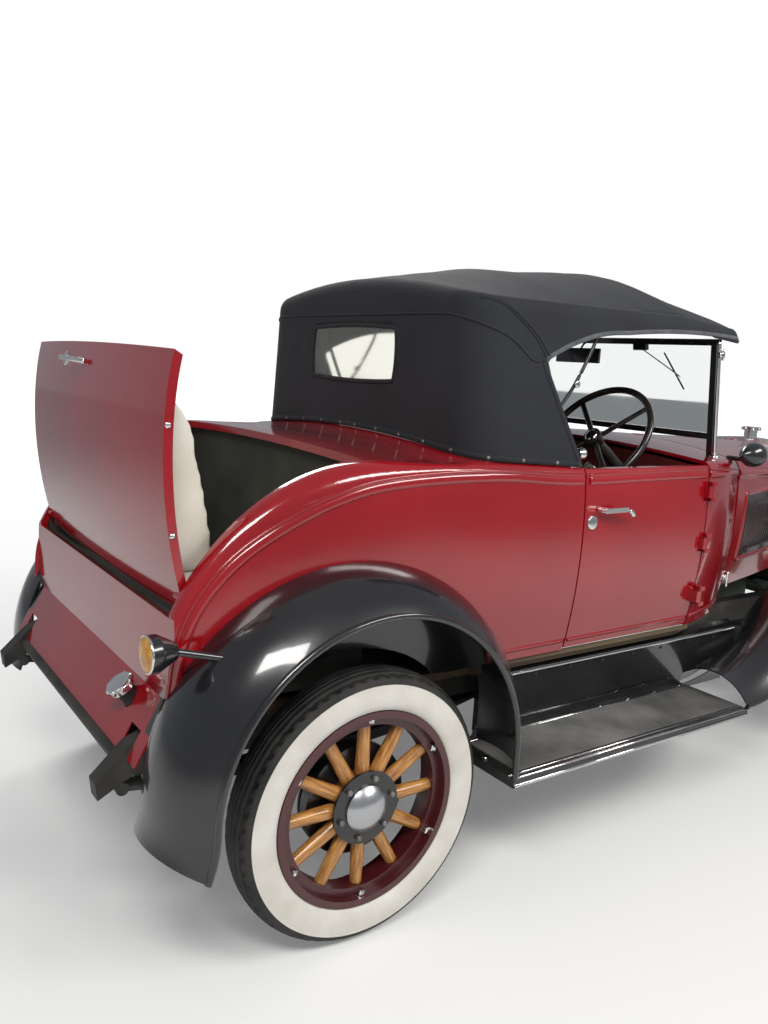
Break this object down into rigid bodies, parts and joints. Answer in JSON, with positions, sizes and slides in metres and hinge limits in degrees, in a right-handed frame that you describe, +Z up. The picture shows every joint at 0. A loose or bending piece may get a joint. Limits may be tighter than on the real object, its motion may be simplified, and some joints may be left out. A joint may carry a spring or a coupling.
{
  "type": "vintage roadster",
  "caption": "Late-1920s two-seat roadster with canvas top, open rumble seat, wood-spoke wheels, steering, opening doors and hood.",
  "frame": {"origin": "on the ground at the middle of the car's overall length and width", "axes": "+X forward, +Y to the car's left, +Z up"},
  "size_m": [3.922, 1.698, 1.876],
  "materials": {
    "tyre": "black rubber with a wide white wall",
    "wood": "honey varnish",
    "rim_paint": "dark maroon gloss",
    "red_paint": "red gloss",
    "black_paint": "black gloss",
    "chassis_paint": "black satin",
    "cast_iron": "painted iron",
    "steel": "dull",
    "bright_metal": "polished",
    "radiator_black": "painted black",
    "floor_wood": "dark stained",
    "well_lining": "dark grey satin",
    "seat_cream": "cream",
    "seat_dark": "dark",
    "clear_glass": "clear",
    "canvas": "black cloth",
    "bow_wood": "dark stained",
    "board_rubber": "ribbed mat",
    "wheel_rim_black": "dark hard rubber"
  },
  "bodies": {
    "car": {"canvas_top": "canvas", "cowl": "red_paint", "cowl_lamps": "black_paint", "dashboard": "floor_wood", "engine_block": "cast_iron", "exhaust": "steel", "filler_cap": "bright_metal", "floor": "floor_wood", "frame": "black_paint", "front_axle": "chassis_paint", "front_fenders": "black_paint", "front_seat": "seat_dark", "fuel_tank": "chassis_paint", "headlamps": "black_paint", "propeller_shaft": "chassis_paint", "radiator_core": "radiator_black", "radiator_shell": "bright_metal", "rear_axle": "chassis_paint", "rear_body": "red_paint", "rear_fenders": "black_paint", "rear_window": "clear_glass", "rumble_cushion": "seat_cream", "rumble_well": "well_lining", "running_boards": "board_rubber", "splash_aprons": "black_paint", "springs": "chassis_paint", "steering_column": "chassis_paint", "tail_lamp": "black_paint", "tank_apron": "red_paint", "top_bows": "bow_wood", "windshield_frame": "black_paint", "windshield_glass": "clear_glass"},
    "door_right": {"door_right": "red_paint"},
    "door_left": {"door_left": "red_paint"},
    "rumble_lid": {"rumble_lid": "red_paint", "rumble_back": "seat_cream"},
    "hood_right": {"hood_right": "red_paint"},
    "hood_left": {"hood_left": "red_paint"},
    "knuckle_right": {"knuckle_right": "chassis_paint"},
    "knuckle_left": {"knuckle_left": "chassis_paint"},
    "tie_rod": {"tie_rod": "chassis_paint"},
    "steering_wheel": {"steering_wheel": "wheel_rim_black"},
    "wheel_front_left": {"tyre_front_left": "tyre", "spokes_front_left": "wood", "rim_and_hub_front_left": "rim_paint"},
    "wheel_front_right": {"tyre_front_right": "tyre", "spokes_front_right": "wood", "rim_and_hub_front_right": "rim_paint"},
    "wheel_rear_left": {"tyre_rear_left": "tyre", "spokes_rear_left": "wood", "rim_and_hub_rear_left": "rim_paint"},
    "wheel_rear_right": {"tyre_rear_right": "tyre", "spokes_rear_right": "wood", "rim_and_hub_rear_right": "rim_paint"}
  },
  "joints": [
    {"name": "door_right_hinge", "type": "hinge", "parent": "car", "child": "door_right", "pos_m": [0.088, -0.682, 0.95], "axis": [0, 0, 1], "range_deg": [0, 65]},
    {"name": "door_left_hinge", "type": "hinge", "parent": "car", "child": "door_left", "pos_m": [0.088, 0.682, 0.95], "axis": [0, 0, -1], "range_deg": [0, 65]},
    {"name": "rumble_lid_hinge", "type": "hinge", "parent": "car", "child": "rumble_lid", "pos_m": [-1.781, 0, 0.93], "axis": [0, 1, 0], "range_deg": [0, 59]},
    {"name": "hood_right_hinge", "type": "hinge", "parent": "car", "child": "hood_right", "pos_m": [0.441, 0, 1.26], "axis": [-0.9995, 0, 0.0324], "range_deg": [0, 50]},
    {"name": "hood_left_hinge", "type": "hinge", "parent": "car", "child": "hood_left", "pos_m": [0.441, 0, 1.26], "axis": [0.9995, 0, -0.0324], "range_deg": [0, 50]},
    {"name": "knuckle_left_pivot", "type": "hinge", "parent": "car", "child": "knuckle_left", "pos_m": [1.445, 0.618, 0.366], "axis": [0, 0, 1], "range_deg": [-30, 30]},
    {"name": "knuckle_right_pivot", "type": "hinge", "parent": "car", "child": "knuckle_right", "pos_m": [1.445, -0.618, 0.366], "axis": [0, 0, 1], "range_deg": [-30, 30]},
    {"name": "tie_rod_pivot", "type": "hinge", "parent": "knuckle_left", "child": "tie_rod", "pos_m": [1.295, 0.618, 0.3], "axis": [0, 0, 1], "range_deg": [-30, 30]},
    {"name": "steering_wheel_turn", "type": "hinge", "parent": "car", "child": "steering_wheel", "pos_m": [-0.158, -0.35, 1.278], "axis": [-0.8192, 0, 0.5736], "range_deg": [-450, 450]},
    {"name": "wheel_front_left_spin", "type": "hinge", "parent": "knuckle_left", "child": "wheel_front_left", "pos_m": [1.445, 0.711, 0.366], "axis": [0, 1, 0], "continuous": true},
    {"name": "wheel_front_right_spin", "type": "hinge", "parent": "knuckle_right", "child": "wheel_front_right", "pos_m": [1.445, -0.711, 0.366], "axis": [0, 1, 0], "continuous": true},
    {"name": "wheel_rear_left_spin", "type": "hinge", "parent": "car", "child": "wheel_rear_left", "pos_m": [-1.335, 0.711, 0.366], "axis": [0, 1, 0], "continuous": true},
    {"name": "wheel_rear_right_spin", "type": "hinge", "parent": "car", "child": "wheel_rear_right", "pos_m": [-1.335, -0.711, 0.366], "axis": [0, 1, 0], "continuous": true}
  ],
  "couplings": [
    {"joint": "knuckle_right_pivot", "follows": "knuckle_left_pivot", "ratio": 1},
    {"joint": "tie_rod_pivot", "follows": "knuckle_left_pivot", "ratio": -1},
    {"joint": "steering_wheel_turn", "follows": "knuckle_left_pivot", "ratio": 15}
  ]
}
